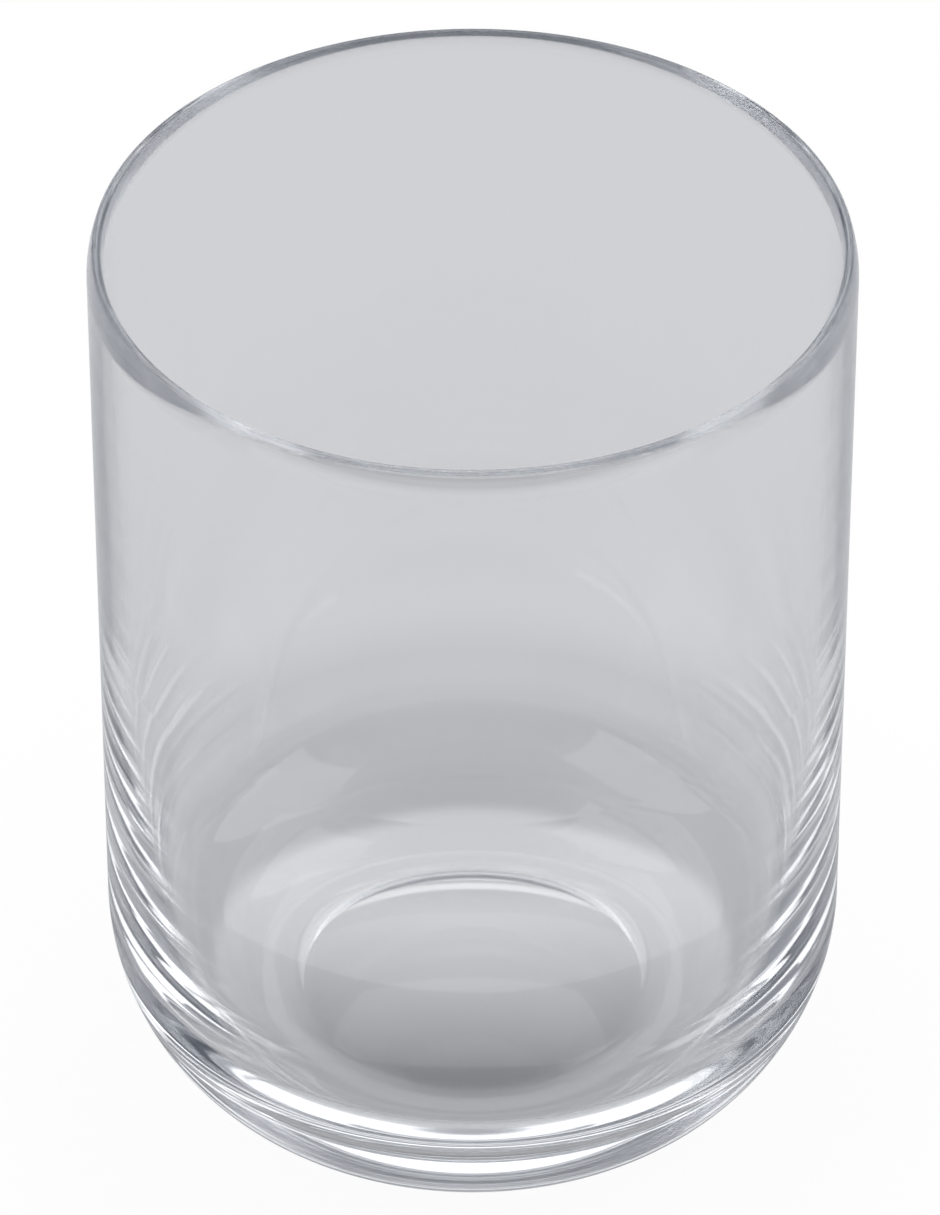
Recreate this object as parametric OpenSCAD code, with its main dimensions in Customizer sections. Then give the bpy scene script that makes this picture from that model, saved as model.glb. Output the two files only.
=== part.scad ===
// Straight-sided cocktail tumbler, pressed and fire-polished in one piece of clear glass.
// Millimetres, +Z up, origin at the centre of the face that it stands on.

/* [Bowl] */
// Outside diameter of the straight wall and of the rim
rim_d = 80; // [70:1:95]
// Height from the table to the top of the rim
height = 107; // [95:1:140]

/* [Wall] */
// Wall thickness just under the lip
rim_wall = 1.7; // [1.4:0.1:2.2]
// Radius of the gentle curve that brings the outside in towards the lip
lip_out_r = 9; // [6:0.5:14]
// Radius of the curve that brings the inside out towards the lip
lip_in_r = 7.8; // [5:0.2:12]
// Wall thickness where the wall starts to thicken towards the base
wall_t = 2.34; // [1.8:0.02:4]
// Height at which the wall starts to thicken
thick_z = 60.7; // [57:0.1:76]
// Radius of the gentle inside curve that thickens the wall
thick_r = 446; // [380:1:500]
// Lean of the inside in degrees where that curve gives way to a closer one
thick_lean = 4.1; // [3.5:0.1:4.6]
// Radius of the closer curve
close_r = 93.3; // [50:0.1:110]
// Lean of the inside in degrees where the round of the floor starts
close_lean = 9.8; // [7:0.1:11]

/* [Floor] */
// Glass and hollow between the table and the middle of the dished floor
floor_t = 5.71; // [4.5:0.01:6.5]
// Radius of the round between the inside of the wall and the floor
round_r = 10.86; // [8:0.01:12]

/* [Corner] */
// Radius of the outside below the wall
corner_r = 24.92; // [22:0.01:30]
// Closer radius that leads on to the underside
heel_r = 19.56; // [15:0.01:21]
// Turn in degrees from the wall to where the closer radius starts
corner_turn = 36.2; // [28:0.1:42]

/* [Underside] */
// Diameter of the standing ring along its middle
foot_d = 47.08; // [42:0.02:50]
// Width of the flat on which the ring stands
foot_w = 0.76; // [0.6:0.02:2]
// Height of the ring below the rest of the underside
foot_h = 0.36; // [0.2:0.02:0.5]
// Radius of the ring's rounded sides
foot_round = 10.76; // [6:0.02:13]
// Height of the hollow's middle above the table
punt_depth = 1.4; // [0.8:0.1:2.2]

/* [Hidden] */
$fn = 180;

wall_r = rim_d / 2;
mouth_r = wall_r - rim_wall;

// Arcs that follow each other smoothly overlap by this much, so that they cross and don't just touch.
lap = 0.02;

// Point at a distance from another, in a direction that turns from level to straight down.
function along(from, distance, turn) = from + distance * [cos(turn), -sin(turn)];

// The lip: a round top a third as wide as the wall, and the two curves that lead up to it.
lip_r = 0.325 * rim_wall;
lip_c = [wall_r - 0.285 * rim_wall - lip_r, height - lip_r];
lip_lap = 0.006;
lip_out_x = wall_r - lip_out_r;
lip_in_x = mouth_r + lip_in_r;
lip_out_z = lip_c.y - sqrt((lip_out_r - lip_r + lip_lap) ^ 2 - (lip_c.x - lip_out_x) ^ 2);
lip_in_z = lip_c.y - sqrt((lip_in_r - lip_r + lip_lap) ^ 2 - (lip_in_x - lip_c.x) ^ 2);
lip_out_end = lip_c + lip_r * (lip_c - [lip_out_x, lip_out_z]) / norm(lip_c - [lip_out_x, lip_out_z]);
lip_in_end = lip_c + lip_r * (lip_c - [lip_in_x, lip_in_z]) / norm(lip_c - [lip_in_x, lip_in_z]);
lip_slope = (lip_out_end - lip_in_end) / norm(lip_out_end - lip_in_end);

// The inside of the wall: a gentle curve, then a closer one, then the round that leads on to the floor.
thick_c = [wall_r - wall_t - thick_r, thick_z];
thick_end = along(thick_c, thick_r, thick_lean);
close_c = along(thick_end, lap - close_r, thick_lean);
close_end = along(close_c, close_r, close_lean);
round_c = along(close_end, lap - round_r, close_lean);

// The floor is a dish about the axis that touches the round from outside.
round_up = round_c.y - floor_t;
dish_r = (round_c.x ^ 2 + round_up ^ 2 - (round_r - lap) ^ 2) / (2 * (round_up - round_r + lap));
dish_c = [0, floor_t + dish_r];
dish_end_z = round_c.y + round_r * (round_c.y - dish_c.y) / norm(round_c - dish_c);

// The standing ring: its centre of curvature, and half its width where it leaves the underside.
foot_r = foot_d / 2;
foot_z = sqrt(foot_round ^ 2 - (foot_w / 2) ^ 2);
foot_half = sqrt(foot_round ^ 2 - (foot_z - foot_h) ^ 2);

// The outside: the heel's arc comes down to the underside a little outside the standing ring.
heel_end_r = foot_r + foot_half + 0.12;
heel_x = wall_r - corner_r + (corner_r - heel_r + lap) * cos(corner_turn);
heel_c = [heel_x, foot_h + sqrt(heel_r ^ 2 - (heel_end_r - heel_x) ^ 2)];
corner_c = along(heel_c, heel_r - corner_r - lap, corner_turn);
corner_end_z = heel_c.y - heel_r * sin(corner_turn);

// The hollow is a shallow spherical cap that runs out on the inner side of the standing ring.
punt_r = foot_r - foot_half + 0.3;
punt_up = punt_depth - foot_h;
punt_sphere_r = (punt_r ^ 2 + punt_up ^ 2) / (2 * punt_up);

// A band across the axis whose half width goes from one value to another.
module band(low_r, low_z, high_r, high_z) {
    polygon([[-low_r, low_z], [low_r, low_z], [high_r, high_z], [-high_r, high_z]]);
}

// The part of a disc between two heights.
module disc_between(centre, radius, low_z, high_z) {
    intersection() {
        translate(centre) circle(radius);
        band(rim_d, low_z, rim_d, high_z);
    }
}

// Section of the glass without its hollows, from the underside up to where the outside turns in.
module block_section() {
    intersection() {
        band(rim_d, foot_h, rim_d, 2 * height);
        union() {
            band(wall_r, corner_c.y, wall_r, lip_out_z);
            disc_between(corner_c, corner_r, corner_end_z, corner_c.y);
            translate(heel_c) circle(heel_r);
            band(heel_c.x, 0, heel_c.x, corner_c.y + 1);
        }
    }
}

// Section of the space inside the bowl, out through the mouth.
module bowl_section() {
    band(wall_r - wall_t, thick_z, mouth_r, lip_in_z);
    difference() {
        band(mouth_r + rim_wall / 2, lip_in_z, mouth_r + rim_wall / 2, height + rim_wall / 2);
        translate([lip_in_x, lip_in_z]) circle(lip_in_r);
    }
    disc_between(thick_c, thick_r, thick_end.y, thick_z);
    disc_between(close_c, close_r, close_end.y, thick_end.y + 4);
    translate(round_c) circle(round_r);
    band(round_c.x, dish_end_z - 1, round_c.x, close_end.y + 1);
    disc_between(dish_c, dish_r, 0, dish_end_z);
}

// Section of the hollow under the base.
module punt_section() {
    translate([0, punt_depth - punt_sphere_r]) circle(punt_sphere_r);
}

// Section of the rounded standing ring, with its top inside the glass.
module foot_section() {
    disc_between([foot_r, foot_z], foot_round, -1, 1.2 * foot_h);
}

// Section of the top of the wall, where the outside turns in, up to where the lip's round takes over.
module taper_section() {
    intersection() {
        translate([lip_out_x, lip_out_z]) circle(lip_out_r);
        polygon([
            [mouth_r - 1, lip_out_z - 1], [wall_r + 1, lip_out_z - 1],
            lip_out_end + lip_slope, lip_in_end - lip_slope
        ]);
    }
}

// Section of the round top of the lip.
module lip_section() {
    translate(lip_c) circle(lip_r);
}

module tumbler() {
    color([0.86, 0.88, 0.9, 0.35])
    rotate_extrude()
    intersection() {
        // Right of the axis and above the table
        square([rim_d, 2 * height]);
        union() {
            difference() {
                union() {
                    block_section();
                    taper_section();
                }
                bowl_section();
                punt_section();
            }
            foot_section();
            lip_section();
        }
    }
}

tumbler();
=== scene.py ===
import math

import bpy
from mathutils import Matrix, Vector


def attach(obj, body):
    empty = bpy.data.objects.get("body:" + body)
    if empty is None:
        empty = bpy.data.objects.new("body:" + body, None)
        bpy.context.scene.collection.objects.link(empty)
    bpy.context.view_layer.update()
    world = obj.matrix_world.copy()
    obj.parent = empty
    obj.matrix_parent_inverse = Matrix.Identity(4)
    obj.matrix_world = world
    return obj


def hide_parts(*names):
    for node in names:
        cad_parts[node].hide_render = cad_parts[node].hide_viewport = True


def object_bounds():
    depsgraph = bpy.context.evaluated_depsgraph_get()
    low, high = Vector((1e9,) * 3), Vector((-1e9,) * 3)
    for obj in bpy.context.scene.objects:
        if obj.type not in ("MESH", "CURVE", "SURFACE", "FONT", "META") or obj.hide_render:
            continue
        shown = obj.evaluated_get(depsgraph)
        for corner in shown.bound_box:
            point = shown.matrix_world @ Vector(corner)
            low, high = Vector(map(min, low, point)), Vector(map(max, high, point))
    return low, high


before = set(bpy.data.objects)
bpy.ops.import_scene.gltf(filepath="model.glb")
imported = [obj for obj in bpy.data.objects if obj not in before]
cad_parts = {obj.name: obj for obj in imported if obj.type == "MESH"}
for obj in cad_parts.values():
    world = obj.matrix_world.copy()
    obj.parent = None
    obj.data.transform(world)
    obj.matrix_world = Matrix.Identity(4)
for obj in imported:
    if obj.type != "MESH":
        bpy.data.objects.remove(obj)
cad_low, cad_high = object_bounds()

# Tumbler
# The whole glass is one gob of clear soda-lime glass, pressed in a mould and fire-polished: a wall
# that thickens downwards, a tapered lip, a dished floor, and a low standing ring round a hollow.
MM = 0.001
wall_r = cad_high.x
height = cad_high.z
rim_wall = 1.7 * MM
lip_out_r = 9.0 * MM
lip_in_r = 7.8 * MM
lip_round_share = 0.325
lip_set_in_share = 0.285
wall_t = 2.34 * MM
thick_z = 60.7 * MM
thick_r = 446.0 * MM
thick_lean = 4.1
close_r = 93.3 * MM
close_lean = 9.8
round_r = 10.86 * MM
floor_t = 5.71 * MM
corner_r = 24.92 * MM
heel_r = 19.56 * MM
corner_turn = 36.2
foot_r = 23.54 * MM
foot_w = 0.76 * MM
foot_h = 0.36 * MM
foot_round = 10.76 * MM
heel_gap = 0.12 * MM
punt_depth = 1.4 * MM
lathe_steps = 256
wall_bounces = 96


def along(start, distance, turn):
    """The point at a distance from another, in a direction that turns from level to straight down."""
    angle = math.radians(turn)
    return start[0] + distance * math.cos(angle), start[1] - distance * math.sin(angle)


def arc(centre, radius, start, end, steps):
    """Points on a circle from one turn below level to another, with the normals on the right hand."""
    side = 1 if end < start else -1
    turns = [start + (end - start) * i / steps for i in range(steps + 1)]
    return [(along(centre, radius, turn), along((0, 0), side, turn)) for turn in turns]


def line(start, end, steps):
    """Points along a straight stretch, each with the normal on the right hand."""
    across, up = end[0] - start[0], end[1] - start[1]
    normal = (up / math.hypot(across, up), -across / math.hypot(across, up))
    shares = [i / steps for i in range(steps + 1)]
    return [((start[0] + across * share, start[1] + up * share), normal) for share in shares]


def turn_at(centre, point):
    """How far below level a point lies as seen from a centre, in degrees."""
    return math.degrees(math.atan2(centre[1] - point[1], point[0] - centre[0]))


def lathe(name, stretches, steps):
    """A closed mesh that is turned about Z. Its first and last points lie on the axis."""
    pieces = [pair for stretch in stretches for pair in zip(stretch, stretch[1:])]
    angles = [2 * math.pi * i / steps for i in range(steps)]
    turns = [(math.cos(angle), math.sin(angle)) for angle in angles]
    verts = [(0, 0, pieces[0][0][0][1])]
    for _, (point, _) in pieces[:-1]:
        r, z = point
        verts += [(r * c, r * s, z) for c, s in turns]
    verts.append((0, 0, pieces[-1][1][0][1]))
    faces = []
    normals = []
    for k, ((_, low_normal), (_, high_normal)) in enumerate(pieces):
        low = 1 + (k - 1) * steps
        high = low + steps
        for i in range(steps):
            j = (i + 1) % steps
            corners = [
                (low + i, i, low_normal), (low + j, j, low_normal),
                (high + j, j, high_normal), (high + i, i, high_normal)]
            if k == 0:
                corners = [(0, i, low_normal)] + corners[2:]
            if k == len(pieces) - 1:
                corners = corners[:2] + [(len(verts) - 1, i, high_normal)]
            faces.append([corner[0] for corner in corners])
            for _, at, (out, rise) in corners:
                normals.append((out * turns[at][0], out * turns[at][1], rise))
    mesh = bpy.data.meshes.new(name)
    mesh.from_pydata(verts, [], faces)
    mesh.shade_smooth()
    mesh.normals_split_custom_set(normals)
    piece = bpy.data.objects.new(name, mesh)
    bpy.context.scene.collection.objects.link(piece)
    return piece


def underside_profile():
    """The hollow, the standing ring and the heel, from the axis out to the wall."""
    foot_z = math.sqrt(foot_round ** 2 - (foot_w / 2) ** 2)
    foot_half = math.sqrt(foot_round ** 2 - (foot_z - foot_h) ** 2)
    foot_c = (foot_r, foot_z)
    heel_x = wall_r - corner_r + (corner_r - heel_r) * math.cos(math.radians(corner_turn))
    heel_end = (foot_r + foot_half + heel_gap, foot_h)
    heel_c = (heel_x, foot_h + math.sqrt(heel_r ** 2 - (heel_end[0] - heel_x) ** 2))
    corner_c = along(heel_c, heel_r - corner_r, corner_turn)
    punt_end = (foot_r - foot_half, foot_h)
    punt_up = punt_depth - foot_h
    punt_sphere_r = (punt_end[0] ** 2 + punt_up ** 2) / (2 * punt_up)
    punt_c = (0, punt_depth - punt_sphere_r)
    flat_in = (foot_r - foot_w / 2, 0)
    flat_out = (foot_r + foot_w / 2, 0)
    ring_out = (foot_r + foot_half, foot_h)
    return (
        arc(punt_c, punt_sphere_r, -90, turn_at(punt_c, punt_end), steps=24),
        arc(foot_c, foot_round, turn_at(foot_c, punt_end), turn_at(foot_c, flat_in), steps=12),
        line(flat_in, flat_out, steps=3),
        arc(foot_c, foot_round, turn_at(foot_c, flat_out), turn_at(foot_c, ring_out), steps=12),
        line(ring_out, heel_end, steps=1),
        arc(heel_c, heel_r, turn_at(heel_c, heel_end), corner_turn, steps=48),
        arc(corner_c, corner_r, corner_turn, 0, steps=32),
    )


def lip_profile():
    """The outside as it turns in, the round top of the lip, and the inside as it turns out."""
    lip_r = lip_round_share * rim_wall
    lip_c = (wall_r - lip_set_in_share * rim_wall - lip_r, height - lip_r)
    out_x = wall_r - lip_out_r
    in_x = wall_r - rim_wall + lip_in_r
    out_c = (out_x, lip_c[1] - math.sqrt((lip_out_r - lip_r) ** 2 - (lip_c[0] - out_x) ** 2))
    in_c = (in_x, lip_c[1] - math.sqrt((lip_in_r - lip_r) ** 2 - (in_x - lip_c[0]) ** 2))
    out_turn = turn_at(out_c, lip_c)
    in_turn = turn_at(in_c, lip_c)
    return (
        arc(out_c, lip_out_r, 0, out_turn, steps=16),
        arc(lip_c, lip_r, out_turn, in_turn, steps=32),
        arc(in_c, lip_in_r, in_turn, -180, steps=12),
    )


def inside_profile(mouth):
    """The inside of the wall and the dished floor, from under the lip to the axis."""
    thick_c = (wall_r - wall_t - thick_r, thick_z)
    close_c = along(thick_c, thick_r - close_r, thick_lean)
    round_c = along(close_c, close_r - round_r, close_lean)
    round_up = round_c[1] - floor_t
    dish_r = (round_c[0] ** 2 + round_up ** 2 - round_r ** 2) / (2 * (round_up - round_r))
    dish_c = (0, floor_t + dish_r)
    dish_start = turn_at(dish_c, round_c)
    return (
        line(mouth, (wall_r - wall_t, thick_z), steps=12),
        arc(thick_c, thick_r, 0, thick_lean, steps=24),
        arc(close_c, close_r, thick_lean, close_lean, steps=16),
        arc(round_c, round_r, close_lean, dish_start, steps=48),
        arc(dish_c, dish_r, dish_start, 90, steps=40),
    )


def tumbler_profile():
    """Half section from the middle of the underside, round the wall, to the middle of the floor."""
    under = underside_profile()
    lip = lip_profile()
    wall = line(under[-1][-1][0], lip[0][0][0], steps=12)
    return under + (wall,) + lip + inside_profile(lip[-1][-1][0])


class Wire:
    """A node's output socket. Arithmetic on it adds Math nodes to the same tree."""

    def __init__(self, tree, socket):
        self.tree = tree
        self.socket = socket

    def math(self, operation, *values):
        node = self.tree.nodes.new("ShaderNodeMath")
        node.operation = operation
        for entry, value in zip(node.inputs, values):
            if isinstance(value, Wire):
                self.tree.links.new(value.socket, entry)
            else:
                entry.default_value = value
        return Wire(self.tree, node.outputs[0])

    def __add__(self, other):
        return self.math("ADD", self, other)

    def __radd__(self, other):
        return self.math("ADD", other, self)

    def __sub__(self, other):
        return self.math("SUBTRACT", self, other)

    def __rsub__(self, other):
        return self.math("SUBTRACT", other, self)

    def __mul__(self, other):
        return self.math("MULTIPLY", self, other)

    def __rmul__(self, other):
        return self.math("MULTIPLY", other, self)

    def larger(self, other):
        return self.math("MAXIMUM", self, other)


class Shading:
    """A node tree that starts empty, for a material or the world."""

    def __init__(self, owner):
        owner.use_nodes = True
        self.tree = owner.node_tree
        self.tree.nodes.clear()

    def node(self, kind, settings=None, output=0, **sockets):
        """Adds a node of this kind. Socket names use _ for a space; i0, i1 and so on go by number."""
        made = self.tree.nodes.new("ShaderNode" + kind)
        for key, value in (settings or {}).items():
            setattr(made, key, value)
        for key, value in sockets.items():
            by_number = key[0] == "i" and key[1:].isdigit()
            entry = made.inputs[int(key[1:]) if by_number else key.replace("_", " ")]
            if isinstance(value, Wire):
                self.tree.links.new(value.socket, entry)
            else:
                entry.default_value = value
        return Wire(self.tree, made.outputs[output]) if len(made.outputs) else made


def glass_material():
    """Clear glass with the faint waviness of a pressed wall, and a faint grey in its depth."""
    material = bpy.data.materials.new("clear_glass")
    shading = Shading(material)
    place = shading.node("TexCoord", output="Object")
    waviness = shading.node("TexNoise", Vector=place, Scale=40.0, Detail=1.0, Roughness=0.4)
    normal = shading.node("Bump", Strength=0.01, Distance=0.0005, Height=waviness)
    surface = shading.node(
        "BsdfPrincipled", Base_Color=(1, 1, 1, 1), Roughness=0.03, IOR=1.52,
        Transmission_Weight=1.0, Normal=normal)
    depth = shading.node("VolumeAbsorption", Color=(0.894, 0.9, 0.908, 1), Density=16.0)
    shading.node("OutputMaterial", Surface=surface, Volume=depth)
    return material


tumbler = lathe("tumbler_glass", tumbler_profile(), lathe_steps)
tumbler.data.materials.append(glass_material())
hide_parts("tumbler")
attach(tumbler, "root")

# Light that runs along inside the wall is reflected many times before it leaves.
bpy.context.scene.cycles.max_bounces = wall_bounces
bpy.context.scene.cycles.glossy_bounces = wall_bounces
bpy.context.scene.cycles.transmission_bounces = wall_bounces

# Table
# The glass stands on a plain grey table, a hair above it so that no black ring shows where they meet.
# Straight to the camera the table is white, with a trace of shadow round the base. In the glass, by
# refraction and reflection, it shows a grey with painted light and shade: a painted shadow ring round
# the base, and under the glass a painted caustic that is bright at the back, with painted shade at the
# front.
table_half = 4.0
table_z = -0.05 * MM
table_glow_grey = (0.70, 0.705, 0.73, 1)
table_shade = (0.30, 0.305, 0.32, 1)
table_pale = (0.9, 0.9, 0.9, 1)
# How much the table glows in the glass. Far off it glows evenly. Round the base a lower share is a
# painted shadow ring. Under the glass a higher share is a painted caustic, brightest at the back, and
# over the near half of the hollow a low share is painted shade.
glow_open = 0.86
painted_ring_shadow = 0.48
painted_far_light = 0.85
painted_near_shade = 0.17
painted_caustic_r = 33.0 * MM
painted_caustic_edge = 1.5 * MM
hollow_r = (19 * MM, 25 * MM)
near_to_far = (-18 * MM, 16 * MM)
around_to_open = (46 * MM, 75 * MM)
shadow_r = (30 * MM, 95 * MM)
shadow_share = 0.05


def table_material():
    """White to the camera. In the glass a grey with painted caustic light and painted shade, by place.
    """
    material = bpy.data.materials.new("table")
    shading = Shading(material)
    to_camera = shading.node("LightPath", output="Is Camera Ray")
    refracted = shading.node("LightPath", output="Is Transmission Ray")
    reflected = shading.node("LightPath", output="Is Glossy Ray")
    place = shading.node("TexCoord", output="Object")
    away = shading.node("VectorMath", {"operation": "LENGTH"}, output="Value", i0=place)
    back_way = shading.node("SeparateXYZ", output="Y", Vector=place)
    smooth = {"interpolation_type": "SMOOTHSTEP"}
    # Under the glass, out to this radius, the ring's share gives way to the painted caustic and the
    # painted shade of the hollow.
    under = shading.node(
        "MapRange", smooth, Value=away, From_Min=painted_caustic_r - painted_caustic_edge, From_Max=painted_caustic_r + painted_caustic_edge,
        To_Min=1.0, To_Max=0.0)
    # Painted shade over the near half of the hollow, rising to the painted shadow ring's share at its
    # edge.
    painted_hollow_shade = shading.node(
        "MapRange", smooth, Value=away, From_Min=hollow_r[0], From_Max=hollow_r[1],
        To_Min=painted_near_shade, To_Max=painted_ring_shadow)
    # A painted caustic under the glass, brighter towards the back, over the painted shade at the front.
    painted_caustic_glow = shading.node(
        "MapRange", Value=back_way, From_Min=near_to_far[0], From_Max=near_to_far[1],
        To_Min=painted_hollow_shade, To_Max=painted_far_light)
    painted_shadow_glow = shading.node(
        # A painted shadow ring round the base, fading out to the even glow between these radii.
        "MapRange", smooth, Value=away, From_Min=around_to_open[0], From_Max=around_to_open[1],
        To_Min=painted_ring_shadow, To_Max=glow_open)
    painted_light_share = painted_shadow_glow + under * (painted_caustic_glow - painted_shadow_glow)
    in_glass = refracted.larger(reflected)
    grey = shading.node("BsdfDiffuse", Color=table_shade)
    glow = shading.node("Emission", Color=table_glow_grey, Strength=1.0)
    # In the glass the table is lit grey mixed with glow by these shares, which paints its light and
    # shade.
    lit = shading.node("MixShader", i0=in_glass * painted_light_share, i1=grey, i2=glow)
    white = shading.node("Emission", Color=(1, 1, 1, 1), Strength=1.0)
    pale = shading.node("BsdfDiffuse", Color=table_pale)
    shaded = shading.node(
        "MapRange", smooth, Value=away, From_Min=shadow_r[0], From_Max=shadow_r[1],
        To_Min=shadow_share, To_Max=0.0)
    seen = shading.node("MixShader", i0=shaded, i1=white, i2=pale)
    surface = shading.node("MixShader", i0=to_camera, i1=lit, i2=seen)
    shading.node("OutputMaterial", Surface=surface)
    return material


table_mesh = bpy.data.meshes.new("table")
table_mesh.from_pydata(
    [(-table_half, -table_half, table_z), (table_half, -table_half, table_z),
     (table_half, table_half, table_z), (-table_half, table_half, table_z)], [], [(0, 1, 2, 3)])
table = bpy.data.objects.new("table", table_mesh)
bpy.context.scene.collection.objects.link(table)
table.data.materials.append(table_material())

# Room
# The room is white to the camera. In the glass it is dim low down, paler half-way up, and dark overhead
# and in front, where nothing is lit.
room_low = 0.25
room_middle = 0.5
room_high = 0.1
room_front = 0.04
room_pale = (0.97, 0.99, 1.03, 1)
room_unlit = (0.02, 0.035, 0.06, 1)
rise_up = (0.3, 0.65)
fall_up = (0.9, 0.99)
front_to_back = (-0.5, 0.1)

world = bpy.data.worlds.new("room")
bpy.context.scene.world = world
room = Shading(world)
to_camera = room.node("LightPath", output="Is Camera Ray")
heading = room.node("TexCoord", output="Generated")
up_share = room.node("SeparateXYZ", output="Z", Vector=heading)
back_share = room.node("SeparateXYZ", output="Y", Vector=heading)
smooth = {"interpolation_type": "SMOOTHSTEP"}
rise = room.node(
    "MapRange", smooth, Value=up_share, From_Min=rise_up[0], From_Max=rise_up[1],
    To_Min=room_low, To_Max=room_middle)
fall = room.node(
    "MapRange", smooth, Value=up_share, From_Min=fall_up[0], From_Max=fall_up[1],
    To_Min=1.0, To_Max=room_high / room_middle)
front = room.node(
    "MapRange", smooth, Value=back_share, From_Min=front_to_back[0], From_Max=front_to_back[1],
    To_Min=room_front, To_Max=1.0)
tone = rise * fall * front
unlit_room = room.node("Background", Color=room_unlit, Strength=1.0)
pale_room = room.node("Background", Color=room_pale, Strength=1.0)
grey_room = room.node("MixShader", i0=tone, i1=unlit_room, i2=pale_room)
white_room = room.node("Background", Color=(1, 1, 1, 1), Strength=1.0)
room_surface = room.node("MixShader", i0=to_camera, i1=grey_room, i2=white_room)
room.node("OutputWorld", Surface=room_surface)

# Softboxes
# A tall softbox stands on each side of the glass, and a wide one hangs level above and behind it.
# Their reflections are the pale patches in the bowl and the bands at the base.


def softbox(name, place, facing, width, tall, brightness):
    """A rectangular lamp that looks along a direction, of this brightness as seen straight on."""
    lamp = bpy.data.lights.new(name, "AREA")
    lamp.shape = "RECTANGLE"
    lamp.size = width
    lamp.size_y = tall
    lamp.energy = brightness * 4 * width * tall  # the lamp's power for that brightness
    holder = bpy.data.objects.new(name, lamp)
    bpy.context.scene.collection.objects.link(holder)
    holder.location = place
    holder.rotation_euler = Vector(facing).to_track_quat("-Z", "Y").to_euler()
    holder.visible_camera = False
    return holder


softbox(
    "softbox_left", place=(-0.62, -0.22, 0.69), facing=(1, 0.27, 0.0),
    width=0.64, tall=1.05, brightness=1.1)
softbox(
    "softbox_right", place=(0.64, -0.05, 0.72), facing=(-1, -0.16, 0.0),
    width=0.62, tall=1.20, brightness=1.2)
softbox(
    "softbox_top", place=(-0.045, 0.77, 1.0), facing=(0, -0.001, -1),
    width=1.9, tall=1.18, brightness=0.85)

# Camera
# A long lens looks down on the glass from straight in front, so that the rim and the floor both show.
# Its place and lens come from a fit of the outline and the rim.
camera_distance = 0.8787
camera_elevation = math.radians(38.565)
lens_mm = 242.42
aim_up = 4.25 * MM
aim_left = 0.29 * MM

middle = Vector((0, 0, height / 2))
back = Vector((0, -math.cos(camera_elevation), math.sin(camera_elevation)))
up = Vector((0, math.sin(camera_elevation), math.cos(camera_elevation)))
lens = bpy.data.cameras.new("camera")
lens.lens = lens_mm
lens.sensor_width = 36.0
lens.sensor_fit = "AUTO"
lens.clip_end = 100.0
camera = bpy.data.objects.new("camera", lens)
bpy.context.scene.collection.objects.link(camera)
camera.location = middle + camera_distance * back
aim = middle + aim_up * up - Vector((aim_left, 0, 0))
camera.rotation_euler = (aim - camera.location).to_track_quat("-Z", "Y").to_euler()
bpy.context.scene.camera = camera
bpy.context.scene.view_settings.view_transform = "Standard"
